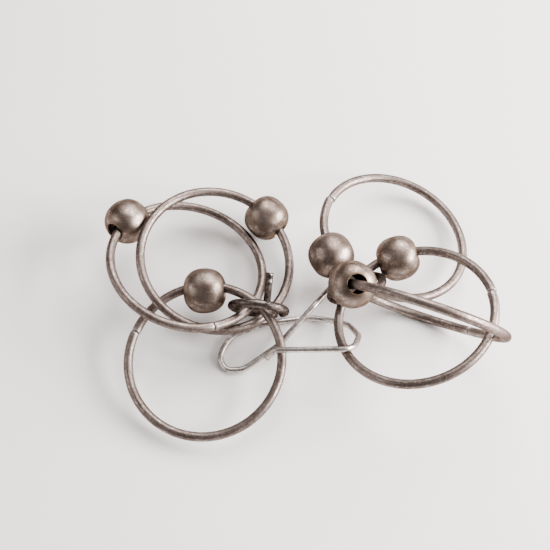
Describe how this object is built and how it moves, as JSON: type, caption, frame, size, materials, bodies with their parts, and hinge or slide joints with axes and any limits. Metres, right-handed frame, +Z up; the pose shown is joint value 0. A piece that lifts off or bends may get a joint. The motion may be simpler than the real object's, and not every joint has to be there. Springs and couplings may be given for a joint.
{
  "type": "metal ring disentanglement puzzle",
  "caption": "Tangle of plain wire hoops threaded with hollow beads, hung in two trios on small wire links that a bent-wire clip joins, worked by hand as a disentanglement puzzle.",
  "frame": {"origin": "centre of the tangle's footprint on the table top", "axes": "+X along the tangle from the left trio to the right trio, +Y to the back, +Z up from the table"},
  "size_m": [0.1002, 0.075, 0.0388],
  "materials": {
    "hoop_wire": "worn and tarnished silver-grey wire, dull, with bright rubbed streaks",
    "bead_shell": "tarnished thin shell, brownish round the holes, small dents, bright where rubbed",
    "link_wire": "tarnished wire, brighter on top",
    "clip_wire": "brighter drawn spring wire, light scratches"
  },
  "bodies": {
    "left_link": {"left_link": "link_wire"},
    "right_link": {"right_link": "link_wire"},
    "wire_clip": {"wire_clip": "clip_wire"},
    "hoop_left_outer": {"hoop_left_outer": "hoop_wire"},
    "hoop_left_back": {"hoop_left_back": "hoop_wire"},
    "hoop_left_front": {"hoop_left_front": "hoop_wire"},
    "hoop_right_back": {"hoop_right_back": "hoop_wire"},
    "hoop_right_upright": {"hoop_right_upright": "hoop_wire"},
    "hoop_right_front": {"hoop_right_front": "hoop_wire"},
    "bead_left_outer": {"bead_left_outer": "bead_shell"},
    "bead_left_back": {"bead_left_back": "bead_shell"},
    "bead_left_front": {"bead_left_front": "bead_shell"},
    "bead_right_back": {"bead_right_back": "bead_shell"},
    "bead_right_upright": {"bead_right_upright": "bead_shell"},
    "bead_right_front": {"bead_right_front": "bead_shell"}
  },
  "joints": [
    {"name": "left_trio_lift", "type": "hinge", "parent": "wire_clip", "child": "hoop_left_front", "pos_m": [-0.0041, -0.0158, 0.0084], "axis": [0, 0.995, 0.0995], "range_deg": [0, 30]},
    {"name": "left_link_swing", "type": "hinge", "parent": "hoop_left_front", "child": "left_link", "pos_m": [-0.0116, -0.0029, 0.0074], "axis": [0.3096, 0.5593, 0.769], "range_deg": [0, 16]},
    {"name": "left_outer_swing", "type": "hinge", "parent": "left_link", "child": "hoop_left_outer", "pos_m": [-0.0099, -0.0039, 0.0076], "axis": [-0.0599, 0.3097, 0.949], "range_deg": [0, 20]},
    {"name": "left_back_lift", "type": "hinge", "parent": "left_link", "child": "hoop_left_back", "pos_m": [-0.0087, -0.0053, 0.0055], "axis": [0.948, 0.2694, -0.1696], "range_deg": [0, 24]},
    {"name": "right_trio_lift", "type": "hinge", "parent": "wire_clip", "child": "right_link", "pos_m": [0.0124, 0.0046, 0.0056], "axis": [-0.0802, -0.9621, 0.2606], "range_deg": [0, 12]},
    {"name": "right_back_lift", "type": "hinge", "parent": "right_link", "child": "hoop_right_back", "pos_m": [0.0166, 0.0007, 0.012], "axis": [0.8917, -0.4108, -0.1904], "range_deg": [0, 12]},
    {"name": "right_upright_lift", "type": "hinge", "parent": "right_link", "child": "hoop_right_upright", "pos_m": [0.0153, -0.0009, 0.0107], "axis": [-0.3694, -0.0399, 0.9284], "range_deg": [0, 18]},
    {"name": "right_front_turn", "type": "hinge", "parent": "right_link", "child": "hoop_right_front", "pos_m": [0.0283, -0.0094, 0.0154], "axis": [-0.2789, 0.133, 0.9511], "range_deg": [-24, 0]},
    {"name": "bead_left_outer_slide", "type": "hinge", "parent": "hoop_left_outer", "child": "bead_left_outer", "pos_m": [-0.0281, 0.0077, 0.0097], "axis": [0.2448, 0.1746, 0.9537], "range_deg": [0, 60]},
    {"name": "bead_left_back_slide", "type": "hinge", "parent": "hoop_left_back", "child": "bead_left_back", "pos_m": [-0.0209, 0.0093, 0.0095], "axis": [0.2179, -0.0837, 0.9724], "range_deg": [-12, 14]},
    {"name": "bead_left_front_slide", "type": "hinge", "parent": "hoop_left_front", "child": "bead_left_front", "pos_m": [-0.0231, -0.0175, 0.0067], "axis": [-0.072, -0.158, 0.9848], "range_deg": [-2, 12]},
    {"name": "bead_right_back_slide", "type": "hinge", "parent": "hoop_right_back", "child": "bead_right_back", "pos_m": [0.0255, 0.0172, 0.0078], "axis": [0.2537, 0.1077, 0.9613], "range_deg": [-110, 0]},
    {"name": "bead_right_upright_slide", "type": "hinge", "parent": "hoop_right_upright", "child": "bead_right_upright", "pos_m": [0.0303, -0.0104, 0.0194], "axis": [0.3235, 0.8654, 0.3827], "range_deg": [0, 110]},
    {"name": "bead_right_front_slide", "type": "hinge", "parent": "hoop_right_front", "child": "bead_right_front", "pos_m": [0.0283, -0.0094, 0.0154], "axis": [-0.2789, 0.133, 0.9511], "range_deg": [-28, 0]}
  ]
}
